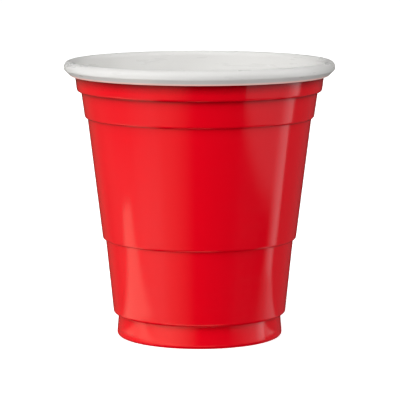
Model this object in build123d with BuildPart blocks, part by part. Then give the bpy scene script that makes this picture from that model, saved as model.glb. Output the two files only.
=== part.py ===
from build123d import *
import os

# A plastic shot cup, drawn as one piece from a flat sheet: a raised floor, a standing ring, a foot that
# stays wider at the table, a wall that steps outwards at four ledges, and an edge rolled into a hollow lip.
# Millimetres and degrees, +Z up. The origin is the middle of the standing ring, on the table.

# The sheet. A bend's radius is the one on its hollow side, and the other side adds the wall to it.
wall = 0.4
corner_bend = 0.13
crease_bend = 0.12

# The floor and the ring that the cup stands on
ring_radius = 15.3
ring_width = 1.1
ring_bend = 0.25
floor_rise = 1.4
floor_slope = 62
floor_bend = 0.4

# The foot, which leans inwards as it rises so that stacked cups come apart
foot_bend = 0.26
foot_height = 3.52
foot_lean = 4.5

# The wall above it, from the foot up: each ledge's flat, and the band's height and outward lean
ledge_slope = 11
foot_ledge = 0.48
lower_height = 13.87
lower_lean = 5.9
lower_ledge = 0.08
long_height = 22.85
long_lean = 6.95
long_ledge = 0.04
upper_height = 4.5
upper_lean = 8.0
upper_ledge = 0.34
collar_height = 4.35
collar_lean = 7.4

# The rolled lip: over the top, down and in along a slant, and round at its cut edge
roll_bend = 0.745
slant_length = 1.0
slant_angle = 44
hem_bend = 0.3
hem_turn = 60

upright = 90
half_turn = 2 * upright
half_wall = wall / 2
steps = [
    (foot_ledge, lower_height, lower_lean),
    (lower_ledge, long_height, long_lean),
    (long_ledge, upper_height, upper_lean),
    (upper_ledge, collar_height, collar_lean),
]


def bend(run, radius, turn):
    """Goes on from a run of the sheet with a bend. A turn to the left is positive."""
    return JernArc(run @ 1, run % 1, radius + half_wall, turn)


def flat(run, length, mode=LengthMode.DIAGONAL):
    """Goes on from a run of the sheet with a straight stretch."""
    return PolarLine(run @ 1, length, direction=run % 1, length_mode=mode)


with BuildPart() as cup:
    with BuildSketch(Plane.XZ) as section:
        # The middle of the sheet's thickness, in radius and height
        with BuildLine() as sheet:
            # From the standing ring in to the cup's axis
            ring = Line((ring_radius, half_wall), (ring_radius - ring_width, half_wall))
            riser = flat(bend(ring, ring_bend, -floor_slope), floor_rise, LengthMode.VERTICAL)
            floor_edge = bend(riser, floor_bend, floor_slope)
            Line(floor_edge @ 1, (0, (floor_edge @ 1).Y))

            # From the standing ring up the foot
            foot_corner = JernArc(ring @ 0, -(ring % 0), foot_bend + half_wall, upright + foot_lean)
            run = flat(foot_corner, foot_height, LengthMode.VERTICAL)

            # Up the wall: out along a ledge and up the next band
            lean = -foot_lean
            for ledge, height, next_lean in steps:
                run = flat(bend(run, crease_bend, lean + ledge_slope - upright), ledge)
                run = bend(run, corner_bend, upright - next_lean - ledge_slope)
                run = flat(run, height, LengthMode.VERTICAL)
                lean = next_lean

            # Over the lip and back to the wall
            run = bend(run, roll_bend, lean + slant_angle - upright - half_turn)
            run = flat(run, slant_length)
            bend(run, hem_bend, -hem_turn)
        trace(line_width=wall)
    revolve(axis=Axis.Z)

cup.part.label = "cup"
os.makedirs("parts", exist_ok=True)
export_step(cup.part, "parts/cup.step")
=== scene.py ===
import logging
import math
from collections.abc import Mapping
from dataclasses import dataclass, field
from enum import Enum

import bmesh
import bpy
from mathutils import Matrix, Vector


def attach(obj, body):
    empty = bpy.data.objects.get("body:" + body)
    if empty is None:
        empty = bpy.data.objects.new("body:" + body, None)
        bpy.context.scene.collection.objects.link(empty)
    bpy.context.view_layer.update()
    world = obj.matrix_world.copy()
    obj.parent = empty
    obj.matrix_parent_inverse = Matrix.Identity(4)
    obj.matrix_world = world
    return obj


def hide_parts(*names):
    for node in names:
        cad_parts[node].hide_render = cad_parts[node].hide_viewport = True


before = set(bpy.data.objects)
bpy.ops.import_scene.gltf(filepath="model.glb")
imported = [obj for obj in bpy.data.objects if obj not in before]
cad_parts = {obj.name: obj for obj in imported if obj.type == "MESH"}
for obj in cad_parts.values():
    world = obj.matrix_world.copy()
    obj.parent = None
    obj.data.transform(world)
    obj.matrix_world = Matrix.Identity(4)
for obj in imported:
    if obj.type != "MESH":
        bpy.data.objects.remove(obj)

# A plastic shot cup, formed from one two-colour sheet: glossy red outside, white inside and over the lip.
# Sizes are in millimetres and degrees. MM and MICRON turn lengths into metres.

LOG = logging.getLogger("shot_cup")
Socket = bpy.types.NodeSocket
Triple = tuple[float, float, float]
MM = 0.001
MICRON = 0.000001
UPRIGHT = 90.0
HALF_TURN = 180.0

# A Mix node's colours, told apart by number because its other kinds have sockets of the same names
MIX_FIRST, MIX_SECOND, MIX_BLEND = 6, 7, 2


class Sight(Enum):
    """What a studio light is seen by: the matt share of a surface, or its gloss."""

    MATT = "matt"
    GLOSS = "gloss"


class Graph:
    """A node tree that is being built: it adds nodes, sets them and feeds their inputs."""

    def __init__(self, tree: bpy.types.NodeTree) -> None:
        """Takes the tree that the nodes go into."""
        self.tree = tree

    def add(self, kind: str, feeds: dict | None = None, **settings: object) -> bpy.types.Node:
        """Adds one node.

        Args:
            kind: The node's type name.
            feeds: What goes into its inputs, by name or number: an output socket or a constant.
            **settings: The node's own options.

        Returns:
            The new node.
        """
        node = self.tree.nodes.new(kind)
        for name, value in settings.items():
            setattr(node, name, value)
        for key, value in (feeds or {}).items():
            if isinstance(value, bpy.types.NodeSocket):
                self.tree.links.new(value, node.inputs[key])
            else:
                node.inputs[key].default_value = value
        return node

    def math(self, operation: str, *terms: Socket | float) -> Socket:
        """Adds a Math node on up to three terms and returns its result."""
        return self.add("ShaderNodeMath", dict(enumerate(terms)), operation=operation).outputs[0]

    def vector(self, operation: str, *terms: Socket | Triple) -> Socket:
        """Adds a Vector Math node on up to two vectors and returns its vector."""
        return self.add("ShaderNodeVectorMath", dict(enumerate(terms)), operation=operation).outputs[0]

    def scaled(self, vector: Socket, factor: Socket | float) -> Socket:
        """Multiplies a vector by a number and returns it."""
        return self.add("ShaderNodeVectorMath", {0: vector, "Scale": factor}, operation="SCALE").outputs[0]

    def split(self, vector: Socket) -> Mapping[str, Socket]:
        """Returns a vector's three numbers, named X, Y and Z."""
        return self.add("ShaderNodeSeparateXYZ", {0: vector}).outputs

    def joined(self, x: Socket, y: Socket, z: Socket) -> Socket:
        """Makes three numbers one vector and returns it."""
        return self.add("ShaderNodeCombineXYZ", {"X": x, "Y": y, "Z": z}).outputs[0]

    def reach(self, place: Socket) -> Socket:
        """Returns how far a place is from the upright axis."""
        level = self.vector("MULTIPLY", place, (1.0, 1.0, 0.0))
        return self.add("ShaderNodeVectorMath", {0: level}, operation="LENGTH").outputs["Value"]

    def eased(self, value: Socket, start: float, end: float, low: float, high: float) -> Socket:
        """Goes smoothly from one number to another while a value goes from its start to its end."""
        return self.add("ShaderNodeMapRange", {
            "Value": value, "From Min": start, "From Max": end, "To Min": low, "To Max": high},
            interpolation_type="SMOOTHSTEP").outputs["Result"]

    def noise(self, place: Socket, scale: float, detail: float, **feeds: float) -> Socket:
        """Adds a noise pattern and returns its value."""
        return self.add("ShaderNodeTexNoise", {"Vector": place, "Scale": scale, "Detail": detail,
                                               **feeds}).outputs["Fac"]

    def mixed(self, share: Socket, first: Socket | Triple, second: Triple) -> Socket:
        """Blends from one colour to another by a share and returns the blend."""
        first = first if isinstance(first, bpy.types.NodeSocket) else (*first, 1.0)
        return self.add("ShaderNodeMix", {"Factor": share, MIX_FIRST: first, MIX_SECOND: (*second, 1.0)},
                        data_type="RGBA").outputs[MIX_BLEND]


@dataclass(frozen=True)
class Rim:
    """Painted light on the white over the rolled lip: painted shade that makes the roll a touch deeper, and a
    painted pink light with a glow at the cut edge.
    """

    shade: float
    roll_from: float
    roll_to: float
    # The cut edge's painted pink light, its glow, and the heights over which it comes in
    hem_painted_light: Triple
    hem_painted_glow: float
    hem_from: float
    hem_to: float

    def roll_painted_shade(self, graph: Graph, place: Socket) -> Socket:
        """Returns the painted shade's factor on the colour: one inside the cup, and the shade from the roll's
        radius outwards.
        """
        return graph.eased(graph.reach(place), self.roll_from * MM, self.roll_to * MM, 1.0, self.shade)

    def hem_painted_light_share(self, graph: Graph, place: Socket) -> Socket:
        """Returns how much of the cut edge's painted pink light and glow a place has, from none to all."""
        low = graph.eased(graph.split(place)["Z"], self.hem_from * MM, self.hem_to * MM, 0.0, 1.0)
        return graph.math("MULTIPLY", low, graph.math("GREATER_THAN", graph.reach(place), self.roll_to * MM))


@dataclass(frozen=True)
class GlossPlastic:
    """A formed polystyrene face: its colour, its gloss and the faint marks that drawing the sheet leaves.

    The scales are in waves to the metre, and the reliefs in microns. Painted shade darkens the colour in
    narrow places through an occlusion node: its three powers set how strongly at the foot, on the wall and
    under the lip, between its four heights, and its reach is how far the node looks.
    """

    name: str
    colour: Triple
    shade: Triple
    roughness: tuple[float, float]
    cloud_scale: float = 90.0
    mark_scale: float = 900.0
    mark_flatness: float = 0.12
    mark_span: tuple[float, float] = (0.3, 0.7)
    mark_relief: float = 4.0
    peel_scale: float = 2500.0
    peel_relief: float = 1.2
    painted_shade: Triple = (0.0, 0.0, 0.0)
    painted_shade_heights: tuple[float, float, float, float] = (18.0, 40.0, 46.0, 49.5)
    painted_shade_reach: float = 2.0
    ior: float = 1.5
    rim: Rim | None = None

    def with_painted_shade(self, graph: Graph, place: Socket, tint: Socket) -> Socket:
        """Darkens a colour with painted shade in the creases, and most under the lip, and returns it."""
        open_share = graph.add("ShaderNodeAmbientOcclusion", {"Distance": self.painted_shade_reach * MM},
                               samples=8, only_local=True).outputs["AO"]
        height = graph.split(place)["Z"]
        levels = [level * MM for level in self.painted_shade_heights]
        foot, wall, lip = self.painted_shade
        power = graph.math("ADD", graph.eased(height, *levels[:2], foot, wall),
                           graph.eased(height, *levels[2:], 0.0, lip - wall))
        return graph.scaled(tint, graph.math("POWER", open_share, power))

    def relief(self, graph: Graph, place: Socket, marks: Socket) -> Socket:
        """Returns the normal of a face with drawing marks on a fine, pebbled skin."""
        peel = graph.noise(place, self.peel_scale, detail=1.0)
        fine = graph.add("ShaderNodeBump", {
            "Height": peel, "Strength": 1.0, "Distance": self.peel_relief * MICRON})
        return graph.add("ShaderNodeBump", {
            "Height": marks, "Strength": 1.0, "Distance": self.mark_relief * MICRON,
            "Normal": fine.outputs["Normal"]}).outputs["Normal"]

    def build(self) -> bpy.types.Material:
        """Makes the material.

        Returns:
            The new material, patterned on Object coordinates.
        """
        material = bpy.data.materials.new(self.name)
        material.use_nodes = True
        material.node_tree.nodes.clear()
        graph = Graph(material.node_tree)
        place = graph.add("ShaderNodeTexCoord").outputs["Object"]

        # Thick and thin places in the colour
        clouds = graph.noise(place, self.cloud_scale, detail=2.0)
        tint = graph.mixed(clouds, self.colour, self.shade)
        # Painted shade: the colour darkens where creases and the lip hide the surface
        if any(self.painted_shade):
            tint = self.with_painted_shade(graph, place, tint)
        glow = {}
        # Painted light on the rim: painted shade on the roll, then the cut edge's painted pink light
        if self.rim:
            share = self.rim.hem_painted_light_share(graph, place)
            tint = graph.mixed(share, graph.scaled(tint, self.rim.roll_painted_shade(graph, place)),
                               self.rim.hem_painted_light)
            # The painted light at the cut edge also glows
            glow = {"Emission Color": (*self.rim.hem_painted_light, 1.0),
                    "Emission Strength": graph.math("MULTIPLY", share, self.rim.hem_painted_glow)}

        # Marks round the wall, where the sheet slid over the mould as it was drawn
        flattened = graph.vector("MULTIPLY", place, (self.mark_flatness, self.mark_flatness, 1.0))
        marks = graph.noise(flattened, self.mark_scale, detail=3.0, Roughness=0.6)
        gloss = graph.add("ShaderNodeMapRange", {
            "Value": marks, "From Min": self.mark_span[0], "From Max": self.mark_span[1],
            "To Min": self.roughness[0], "To Max": self.roughness[1]}).outputs["Result"]
        surface = graph.add("ShaderNodeBsdfPrincipled", {
            "Base Color": tint, "Roughness": gloss, "Normal": self.relief(graph, place, marks),
            "IOR": self.ior, **glow})
        graph.add("ShaderNodeOutputMaterial", {"Surface": surface.outputs["BSDF"]})
        return material


@dataclass
class SheetPath:
    """Draws the middle of a formed sheet's thickness, in radius and height, as flats and tangent bends."""

    radius: float
    height: float
    heading: float
    bend_step: float = 9.0
    flat_step: float = 1.6
    edge_loop: float = 0.05
    short_flat: float = 0.2
    points: list[tuple[float, float]] = field(default_factory=list)

    def __post_init__(self) -> None:
        """Marks the starting point."""
        self.points.append((self.radius, self.height))

    def flat(self, length: float) -> None:
        """Goes straight on. A flat that isn't short has a close point at each end, so that it shades flat."""
        steps = max(1, math.ceil(length / self.flat_step))
        stops = [length * step / steps for step in range(1, steps + 1)]
        if length > self.short_flat:
            stops = sorted({self.edge_loop, length - self.edge_loop, *stops})
        start = (self.radius, self.height)
        heading = math.radians(self.heading)
        for stop in stops:
            self.radius = start[0] + stop * math.cos(heading)
            self.height = start[1] + stop * math.sin(heading)
            self.points.append((self.radius, self.height))

    def bend(self, radius: float, turn: float) -> None:
        """Goes round a bend of the middle line. A turn to the left is positive."""
        side = math.copysign(1.0, turn)
        steps = math.ceil(abs(turn) / self.bend_step)
        for _ in range(steps):
            before = math.radians(self.heading)
            self.heading += turn / steps
            after = math.radians(self.heading)
            self.radius += side * radius * (math.sin(after) - math.sin(before))
            self.height -= side * radius * (math.cos(after) - math.cos(before))
            self.points.append((self.radius, self.height))


@dataclass(frozen=True)
class Band:
    """A band of the wall: the ledge that it stands out on, its height, and how far it leans outwards."""

    ledge: float
    height: float
    lean: float


@dataclass
class FormedCup:
    """The cup: one thin sheet with a raised floor, a ring to stand on, a foot, a stepped wall and a lip.

    The ripple is a share of the radius, and turned_in counts the rings over which the red goes round the
    lip's cut edge: the sheet's red edge, carried far enough round that, with the painted shade, it also
    stands for the dark shade under the lip. The weld, in microns, closes the two middles of the floor.
    """

    outside: GlossPlastic
    inside: GlossPlastic
    wall: float = 0.4
    corner_bend: float = 0.13
    crease_bend: float = 0.12
    ring_radius: float = 15.3
    ring_width: float = 1.1
    ring_bend: float = 0.25
    riser_height: float = 1.4
    riser_slope: float = 62.0
    floor_bend: float = 0.4
    foot_bend: float = 0.26
    foot_height: float = 3.52
    foot_lean: float = 4.5
    ledge_slope: float = 11.0
    bands: tuple[Band, ...] = (
        Band(ledge=0.48, height=13.87, lean=5.9),
        Band(ledge=0.08, height=22.85, lean=6.95),
        Band(ledge=0.04, height=4.5, lean=8.0),
        Band(ledge=0.34, height=4.35, lean=7.4),
    )
    roll_bend: float = 0.745
    shoulder_turn: float = 42.0
    slant_length: float = 1.0
    slant_angle: float = 44.0
    hem_bend: float = 0.3
    hem_turn: float = 60.0
    turned_in: int = 5
    sides: int = 240
    ripple: float = 0.0009
    ripple_size: float = 14.0
    weld: float = 0.1
    seed: int = 7

    def floor_path(self) -> SheetPath:
        """Draws the sheet's middle from the standing ring in to the cup's axis."""
        half = self.wall / 2
        path = SheetPath(self.ring_radius, half, HALF_TURN)
        path.flat(self.ring_width)
        path.bend(self.ring_bend + half, -self.riser_slope)
        path.flat(self.riser_height / math.sin(math.radians(self.riser_slope)))
        path.bend(self.floor_bend + half, self.riser_slope)
        path.flat(path.radius)
        return path

    def wall_path(self) -> SheetPath:
        """Draws the sheet's middle from the standing ring up the wall and over to the lip's cut edge.

        Returns:
            The path. Its roll ends in a tighter bend, which leaves a crisp edge above the slant.
        """
        half = self.wall / 2
        path = SheetPath(self.ring_radius, half, 0.0)
        path.bend(self.foot_bend + half, UPRIGHT + self.foot_lean)
        path.flat(self.foot_height / math.cos(math.radians(self.foot_lean)))
        for band in self.bands:
            path.bend(self.crease_bend + half, self.ledge_slope - path.heading)
            path.flat(band.ledge)
            path.bend(self.corner_bend + half, UPRIGHT - band.lean - self.ledge_slope)
            path.flat(band.height / math.cos(math.radians(band.lean)))
        tight = self.corner_bend + half
        shoulder = (self.roll_bend + half - tight) * math.tan(math.radians(self.shoulder_turn / 2))
        path.bend(self.roll_bend + half, self.slant_angle - HALF_TURN - path.heading + self.shoulder_turn)
        path.flat(shoulder)
        path.bend(tight, -self.shoulder_turn)
        path.flat(shoulder + self.slant_length)
        path.bend(self.hem_bend + half, -self.hem_turn)
        return path

    def middle(self) -> list[tuple[float, float]]:
        """Returns the sheet's middle from the cup's axis to the lip's edge, as radii and heights."""
        return self.floor_path().points[::-1] + self.wall_path().points[1:]

    @staticmethod
    def bare_tree() -> bpy.types.NodeTree:
        """Makes a node tree with the revolved sheet's named inputs and its output, and no nodes yet."""
        tree = bpy.data.node_groups.new("revolved_sheet", "GeometryNodeTree")
        kinds = {"Middle": "Geometry", "Wall": "Float", "Sides": "Int", "Ripple": "Float",
                 "Ripple Size": "Float", "Seed": "Int", "Turned In": "Int", "Outside": "Material",
                 "Inside": "Material"}
        for name, kind in kinds.items():
            tree.interface.new_socket(name, in_out="INPUT", socket_type=f"NodeSocket{kind}")
        tree.interface.new_socket("Sheet", in_out="OUTPUT", socket_type="NodeSocketGeometry")
        return tree

    @staticmethod
    def sampled(graph: Graph, line: Socket, value: Socket, index: Socket) -> Socket:
        """Reads a vector off one point of the middle line."""
        return graph.add("GeometryNodeSampleIndex", {"Geometry": line, "Value": value, "Index": index},
                         data_type="FLOAT_VECTOR", domain="POINT").outputs[0]

    @staticmethod
    def rippled(graph: Graph, given: Mapping[str, Socket], around: Mapping[str, Socket], place: Socket,
                skin: Socket) -> Socket:
        """Turns a ring's point round the axis, with a slow ripple in the radius, the same on both faces.

        Args:
            graph: The tree that the nodes go into.
            given: The tree's inputs.
            around: The direction from the axis, as X and Y of one unit in length.
            place: The point on the sheet's middle.
            skin: The same point moved out to its face.

        Returns:
            The place in the round.
        """
        middle = graph.split(place)
        pattern = graph.joined(graph.math("MULTIPLY", around["X"], middle["X"]),
                               graph.math("MULTIPLY", around["Y"], middle["X"]), middle["Z"])
        waves = graph.add("ShaderNodeTexNoise", {
            "Vector": pattern, "W": given["Seed"],
            "Scale": graph.math("DIVIDE", 1.0, given["Ripple Size"]), "Detail": 1.0},
            noise_dimensions="4D").outputs[0]
        swing = graph.math("MULTIPLY", graph.math("SUBTRACT", waves, 0.5), given["Ripple"])
        face = graph.split(skin)
        radius = graph.math("MULTIPLY", face["X"], graph.math("ADD", swing, 1.0))
        return graph.joined(graph.math("MULTIPLY", around["X"], radius),
                            graph.math("MULTIPLY", around["Y"], radius), face["Z"])

    def finished(self, graph: Graph, given: Mapping[str, Socket], sheet: Socket, ring: Socket,
                 middle_ring: Socket) -> Socket:
        """Closes the floor's two middles, keeps the lip's cut edge crisp, and gives the two finishes.

        Args:
            graph: The tree that the nodes go into.
            given: The tree's inputs.
            sheet: The revolved sheet.
            ring: The number of each point's ring.
            middle_ring: The number of the place between the two rings of the cut edge.

        Returns:
            The sheet with red outside, and white inside and over the lip.
        """
        closed = graph.add("GeometryNodeMergeByDistance", {"Geometry": sheet, "Distance": self.weld * MICRON})
        off_edge = graph.math("ABSOLUTE", graph.math("SUBTRACT", ring, middle_ring))
        half_step, slack = 0.5, 0.1
        crisp = graph.add("GeometryNodeSetShadeSmooth", {
            "Geometry": closed.outputs[0], "Selection": graph.math("COMPARE", off_edge, half_step, slack),
            "Shade Smooth": False}, domain="EDGE")
        whole = graph.add("GeometryNodeRealizeInstances", {"Geometry": crisp.outputs[0]})
        red = graph.add("GeometryNodeSetMaterial", {
            "Geometry": whole.outputs[0], "Material": given["Outside"]})
        inner = graph.math("GREATER_THAN", ring, graph.math("ADD", middle_ring, given["Turned In"]))
        return graph.add("GeometryNodeSetMaterial", {
            "Geometry": red.outputs[0], "Selection": inner, "Material": given["Inside"]}).outputs[0]

    def revolving_tree(self) -> bpy.types.NodeTree:
        """Builds the Geometry Nodes tree that turns a drawn middle line into a closed two-colour sheet.

        Returns:
            The tree, with the sheet's sizes, its seed and its two finishes as inputs.
        """
        tree = self.bare_tree()
        graph = Graph(tree)
        given = graph.add("NodeGroupInput").outputs
        line = graph.add("GeometryNodeMeshToCurve", {"Mesh": given["Middle"]}).outputs["Curve"]
        count = graph.add("GeometryNodeAttributeDomainSize", {"Geometry": line}, component="CURVE")

        # A tube with a ring for each point on either face of the sheet, from the axis out and back again
        last = graph.math("SUBTRACT", graph.math("MULTIPLY", count.outputs["Point Count"], 2.0), 1.0)
        middle_ring = graph.math("MULTIPLY", last, 0.5)
        tube = graph.add("GeometryNodeMeshCylinder", {
            "Vertices": given["Sides"], "Side Segments": last, "Radius": 1.0, "Depth": last},
            fill_type="NONE")
        spot = graph.add("GeometryNodeInputPosition").outputs[0]
        around = graph.split(spot)
        ring = graph.math("ROUND", graph.math("ADD", around["Z"], middle_ring))
        keep = graph.add("GeometryNodeCaptureAttribute")
        keep.capture_items.new("FLOAT", "Ring")
        tree.links.new(tube.outputs["Mesh"], keep.inputs["Geometry"])
        tree.links.new(ring, keep.inputs["Ring"])

        # Each ring takes the radius and height of its point, moved half a wall to its own face
        from_end = graph.math("ABSOLUTE", graph.math("SUBTRACT", ring, middle_ring))
        point = graph.math("SUBTRACT", middle_ring, from_end)
        face = graph.math("SIGN", graph.math("SUBTRACT", ring, middle_ring))
        place = self.sampled(graph, line, spot, point)
        along = self.sampled(graph, line, graph.add("GeometryNodeInputTangent").outputs[0], point)
        normal = graph.vector("CROSS_PRODUCT", along, (0.0, 1.0, 0.0))
        half = graph.math("MULTIPLY", given["Wall"], 0.5)
        skin = graph.vector("ADD", place, graph.scaled(normal, graph.math("MULTIPLY", half, face)))
        shaped = graph.add("GeometryNodeSetPosition", {
            "Geometry": keep.outputs["Geometry"],
            "Position": self.rippled(graph, given, around, place, skin)})
        sheet = self.finished(graph, given, shaped.outputs[0], keep.outputs["Ring"], middle_ring)
        graph.add("NodeGroupOutput", {"Sheet": sheet})
        return tree

    @staticmethod
    def drop_bare_slots(mesh: bpy.types.Mesh) -> None:
        """Takes out the slots that hold no finish, which the plain tube brought with it."""
        bare = [number for number, finish in enumerate(mesh.materials) if finish is None]
        for number in reversed(bare):
            mesh.materials.pop(index=number)

    def build(self) -> bpy.types.Object:
        """Makes the cup as one closed mesh.

        Returns:
            The cup's object, at the origin, with its two finishes on it.
        """
        corners = [(radius * MM, 0.0, height * MM) for radius, height in self.middle()]
        drawn = bpy.data.meshes.new("middle_line")
        drawn.from_pydata(corners, [(n, n + 1) for n in range(len(corners) - 1)], [])
        pattern = bpy.data.objects.new("middle_line", drawn)
        bpy.context.scene.collection.objects.link(pattern)

        modifier = pattern.modifiers.new("revolve", "NODES")
        modifier.node_group = self.revolving_tree()
        values = {"Wall": self.wall * MM, "Sides": self.sides, "Ripple": self.ripple,
                  "Ripple Size": self.ripple_size * MM, "Seed": self.seed, "Turned In": self.turned_in,
                  "Outside": self.outside.build(), "Inside": self.inside.build()}
        for socket in modifier.node_group.interface.items_tree:
            if socket.name in values:
                modifier[socket.identifier] = values[socket.name]

        depsgraph = bpy.context.evaluated_depsgraph_get()
        mesh = bpy.data.meshes.new_from_object(pattern.evaluated_get(depsgraph))
        self.drop_bare_slots(mesh)
        pattern.modifiers.remove(modifier)
        bpy.data.objects.remove(pattern)
        mesh.name = "cup_sheet"
        cup = bpy.data.objects.new("cup_sheet", mesh)
        bpy.context.scene.collection.objects.link(cup)
        return cup


WHITE = (1.0, 1.0, 1.0)
WARM = (1.0, 0.93, 0.68)

# The height that the soft lights face, and how far off they stand
CUP_MIDDLE = 30.0
SOFT_DISTANCE = 900.0

# A height that a card lying on the table faces
ABOVE = 100.0

# What a light's radiance times its area is multiplied by to give its power
POWER_PER_RADIANCE = 4.0


@dataclass(frozen=True)
class Panel:
    """A rectangular light: where its middle is, what it faces, its sides, and how bright it looks.

    Its fade holds the shares of its size over which it fades out: where its own U is nought and one, and
    where its V is nought and one.
    """

    name: str
    middle: Triple
    faces: Triple
    width: float
    height: float
    radiance: float
    sight: Sight
    tint: Triple = WHITE
    fade: tuple[float, float, float, float] = (0.0, 0.0, 0.0, 0.0)

    @classmethod
    def soft(cls, name: str, azimuth: float, elevation: float, radiance: float,
             side: float = 500.0) -> "Panel":
        """Places a square light by its direction from the cup's middle height.

        Args:
            name: The light's name.
            azimuth: Degrees round from the camera's side towards the right.
            elevation: Degrees up from level.
            radiance: How bright it looks.
            side: Its width and height.

        Returns:
            The light, facing the cup, which the gloss doesn't see.
        """
        turn, rise = math.radians(azimuth), math.radians(elevation)
        level = SOFT_DISTANCE * math.cos(rise)
        height = CUP_MIDDLE + SOFT_DISTANCE * math.sin(rise)
        middle = (level * math.sin(turn), -level * math.cos(turn), height)
        return cls(name, middle, (0, 0, CUP_MIDDLE), side, side, radiance, Sight.MATT)

    @classmethod
    def upright(cls, name: str, span: tuple[float, float], low: float, high: float, radiance: float,
                distance: float = 300.0, **look: tuple[float, ...]) -> "Panel":
        """Places one of the tall cards that stand round the cup for its gloss to mirror.

        Args:
            name: The light's name.
            span: The azimuths that it fills, in degrees from the camera's side towards the right.
            low: The height of its lower edge. It reaches below the table as its mirror image there would.
            high: The height of its upper edge.
            radiance: How bright it looks.
            distance: How far off it stands.
            **look: Its tint and fade.

        Returns:
            The card, which only the gloss sees.
        """
        turn = math.radians(sum(span) / 2)
        width = 2 * distance * math.tan(math.radians((span[1] - span[0]) / 2))
        middle = (distance * math.sin(turn), -distance * math.cos(turn), (low + high) / 2)
        return cls(name, middle, (0, 0, (low + high) / 2), width, high - low, radiance, Sight.GLOSS, **look)

    @classmethod
    def beside(cls, name: str, middle: Triple, width: float, height: float, radiance: float,
               **look: tuple[float, ...]) -> "Panel":
        """Stands a card at the cup's side, facing straight across, for its gloss to mirror."""
        return cls(name, middle, (0, *middle[1:]), width, height, radiance, Sight.GLOSS, **look)

    @classmethod
    def lying(cls, name: str, place: tuple[float, float], width: float, depth: float, radiance: float,
              **look: tuple[float, ...]) -> "Panel":
        """Lays a card on the table, facing up, for the gloss to mirror low on the cup."""
        return cls(name, (*place, 0), (*place, ABOVE), width, depth, radiance, Sight.GLOSS, **look)

    def soften(self, light: bpy.types.AreaLight) -> None:
        """Lets the light fade out towards its sides, by the shares of its size that its fade gives."""
        light.use_nodes = True
        graph = Graph(light.node_tree)
        glow = light.node_tree.nodes["Emission"]
        spot = graph.split(graph.add("ShaderNodeTexCoord").outputs["UV"])
        strength = 1.0
        for share, axis, far in zip(self.fade, ("X", "X", "Y", "Y"), (0.0, 1.0, 0.0, 1.0)):
            if share > 0.0:
                near = far + share if far == 0.0 else far - share
                strength = graph.math("MULTIPLY", graph.eased(spot[axis], far, near, 0.0, 1.0), strength)
        light.node_tree.links.new(strength, glow.inputs["Strength"])

    def build(self) -> bpy.types.Object:
        """Makes the light.

        Returns:
            The light's object. The cup's gloss may mirror it, but the camera never sees it.
        """
        light = bpy.data.lights.new(self.name, "AREA")
        light.shape = "RECTANGLE"
        light.size, light.size_y = self.width * MM, self.height * MM
        light.energy = POWER_PER_RADIANCE * self.radiance * light.size * light.size_y
        light.color = self.tint
        if any(self.fade):
            self.soften(light)
        lamp = bpy.data.objects.new(self.name, light)
        bpy.context.scene.collection.objects.link(lamp)
        middle = Vector(self.middle) * MM
        lamp.location = middle
        lamp.rotation_euler = (Vector(self.faces) * MM - middle).to_track_quat("-Z", "Y").to_euler()
        lamp.visible_camera = False
        lamp.visible_glossy = self.sight is Sight.GLOSS
        lamp.visible_diffuse = self.sight is Sight.MATT
        return lamp


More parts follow.
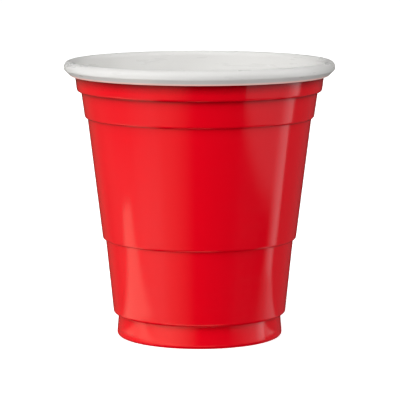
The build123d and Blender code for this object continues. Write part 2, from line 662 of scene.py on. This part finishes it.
@dataclass
class Studio:
    """The pale cove, the soft light and the camera at the photograph's angle."""

    cove_radius: float = 2600.0
    cove_bend: float = 900.0
    cove_height: float = 3000.0
    cove_sides: int = 64
    cove_steps: int = 10
    cove_colour: Triple = (0.9, 0.9, 0.9)
    cove_roughness: float = 0.9
    cove_glow: float = 0.7
    surround: float = 0.3
    panels: tuple[Panel, ...] = (
        Panel.soft("key", -60, 30, 3.0),
        Panel.soft("front", -20, 30, 1.2),
        Panel.soft("fill", 60, 30, 1.25),
        Panel.soft("side", 100, 30, 1.5),
        Panel.soft("back", 180, 30, 1.35),
        Panel.soft("high", -20, 52, 2.9, side=450.0),
        Panel.soft("table_left", -100, -25, 1.1),
        Panel.soft("table_near_left", -60, -25, 2.2),
        Panel.soft("table_near_right", 60, -25, 0.7),
        Panel.soft("table_right", 100, -25, 0.65),
        Panel.upright("left_card", (-125, -3), -230, -6, 0.75, tint=WARM, fade=(0.69, 0.6, 0.0, 0.38)),
        Panel.upright("back_left_card", (-172, -94), -230, 60, 0.15, tint=WARM, fade=(0.5, 0.42, 0.0, 0.0)),
        Panel.upright("back_right_card", (94, 172), -230, 60, 0.09, fade=(0.1, 0.5, 0.0, 0.0)),
        Panel.upright("far_left", (-108, 2), -260, 60, 1.15, 2000, tint=WARM, fade=(0.6, 0.56, 0.15, 0.1)),
        Panel.upright("far_right", (37, 100), -260, 60, 0.55, 2000, fade=(1.0, 0.23, 0.1, 0.1)),
        Panel.lying("left_strip", (-62, -10), 84, 31, 0.85, tint=WARM, fade=(0.1, 0.1, 0.3, 0.3)),
        Panel.lying("foot_line", (-4, -21), 30, 8, 0.8, tint=WARM, fade=(0.3, 0.3, 0.2, 0.2)),
        Panel.beside("right_card", (100, -55, 57), 118, 126, 0.37, fade=(0.0, 0.15, 0.1, 0.0)),
        Panel.beside("right_high", (102, -50, 73), 114, 94, 0.5, fade=(0.0, 0.0, 0.05, 0.0)),
        Panel.beside("right_strip", (80, -5, 57), 26, 130, 0.95, fade=(0.7, 0.2, 0.02, 0.0)),
        Panel.lying("right_table", (42, -9), 40, 24, 0.5, fade=(0.1, 0.1, 0.9, 0.15)),
    )
    camera_back: float = 449.9
    camera_up: float = 88.45
    camera_aim: float = 26.217
    lens: float = 211.6
    sensor: float = 36.0
    shift: float = 0.00125
    sees_from: float = 10.0
    sees_to: float = 20000.0

    def cove_profile(self) -> list[tuple[float, float]]:
        """Returns the cove's radii and heights, from the floor's edge up the bend to the wall's top."""
        profile = []
        for step in range(self.cove_steps + 1):
            turn = math.radians(UPRIGHT * step / self.cove_steps)
            profile.append((self.cove_radius + self.cove_bend * (math.sin(turn) - 1.0),
                            self.cove_bend * (1.0 - math.cos(turn))))
        return [*profile, (self.cove_radius, self.cove_height)]

    def cove_mesh(self) -> bpy.types.Mesh:
        """Makes the cove's floor as one face, and its wall of smooth rings of faces."""
        body = bmesh.new()
        turns = [2 * math.pi * side / self.cove_sides for side in range(self.cove_sides)]
        rings = [[body.verts.new((radius * math.cos(turn) * MM, radius * math.sin(turn) * MM, height * MM))
                  for turn in turns] for radius, height in self.cove_profile()]
        body.faces.new(rings[0])
        for low, high in zip(rings, rings[1:]):
            for side in range(self.cove_sides):
                after = (side + 1) % self.cove_sides
                body.faces.new((low[side], low[after], high[after], high[side]))
        mesh = bpy.data.meshes.new("cove")
        body.to_mesh(mesh)
        body.free()
        mesh.polygons.foreach_set("use_smooth", [len(face.vertices) == 4 for face in mesh.polygons])
        return mesh

    def cove_finish(self) -> bpy.types.Material:
        """Makes the pale matt finish that glows a little."""
        material = bpy.data.materials.new("pale_cove")
        material.use_nodes = True
        surface = material.node_tree.nodes["Principled BSDF"]
        surface.inputs["Base Color"].default_value = (*self.cove_colour, 1.0)
        surface.inputs["Roughness"].default_value = self.cove_roughness
        surface.inputs["Specular IOR Level"].default_value = 0.0
        surface.inputs["Emission Color"].default_value = (*WHITE, 1.0)
        surface.inputs["Emission Strength"].default_value = self.cove_glow
        return material

    def cove(self) -> None:
        """Makes the floor and the wall that it curves up into. Only the camera sees it."""
        cove = bpy.data.objects.new("cove", self.cove_mesh())
        bpy.context.scene.collection.objects.link(cove)
        cove.data.materials.append(self.cove_finish())
        cove.visible_diffuse = cove.visible_glossy = cove.visible_shadow = False

    def light(self) -> None:
        """Sets the even surround, the panels and how the picture's tones are shown."""
        scene = bpy.context.scene
        scene.world = bpy.data.worlds.new("surround")
        scene.world.use_nodes = True
        sky = scene.world.node_tree.nodes["Background"]
        sky.inputs["Color"].default_value = (*WHITE, 1.0)
        sky.inputs["Strength"].default_value = self.surround
        scene.world.cycles_visibility.glossy = False
        for panel in self.panels:
            panel.build()
        scene.view_settings.view_transform = "Standard"

    def camera(self) -> None:
        """Stands the camera where the photograph was taken from."""
        lens = bpy.data.cameras.new("camera")
        lens.lens, lens.sensor_width = self.lens, self.sensor
        lens.shift_x = self.shift
        lens.clip_start, lens.clip_end = self.sees_from * MM, self.sees_to * MM
        camera = bpy.data.objects.new("camera", lens)
        bpy.context.scene.collection.objects.link(camera)
        camera.location = Vector((0, -self.camera_back, self.camera_up)) * MM
        aim = Vector((0, 0, self.camera_aim)) * MM
        camera.rotation_euler = (aim - camera.location).to_track_quat("-Z", "Y").to_euler()
        bpy.context.scene.camera = camera

    def build(self) -> None:
        """Sets up the cove, the light and the camera."""
        self.cove()
        self.light()
        self.camera()


def main() -> None:
    """Builds the cup and its studio."""
    logging.basicConfig(level=logging.INFO, format="%(name)s: %(message)s")
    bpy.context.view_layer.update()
    # The red's three last numbers set its painted shade in the creases: at the foot, on the wall and under
    # the lip
    red = GlossPlastic("red_outside", colour=(0.88, 0.0004, 0.010), shade=(0.86, 0.0004, 0.011),
                       roughness=(0.08, 0.12), painted_shade=(0.1, 1.2, 4.0))
    # The rim's painted shade on the roll, and its painted pink light and glow at the cut edge
    rim = Rim(shade=0.93, roll_from=23.6, roll_to=24.2, hem_painted_light=(0.97, 0.64, 0.58), hem_painted_glow=0.15,
              hem_from=50.95, hem_to=50.7)
    white = GlossPlastic("white_inside", colour=(0.822, 0.815, 0.796), shade=(0.812, 0.805, 0.786),
                         roughness=(0.27, 0.29), mark_relief=0.5, rim=rim)
    cup = FormedCup(red, white).build()
    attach(cup, "root")
    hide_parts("cup")
    LOG.info("%s: %d faces", cup.name, len(cup.data.polygons))

    Studio().build()


if __name__ == "__main__":
    main()
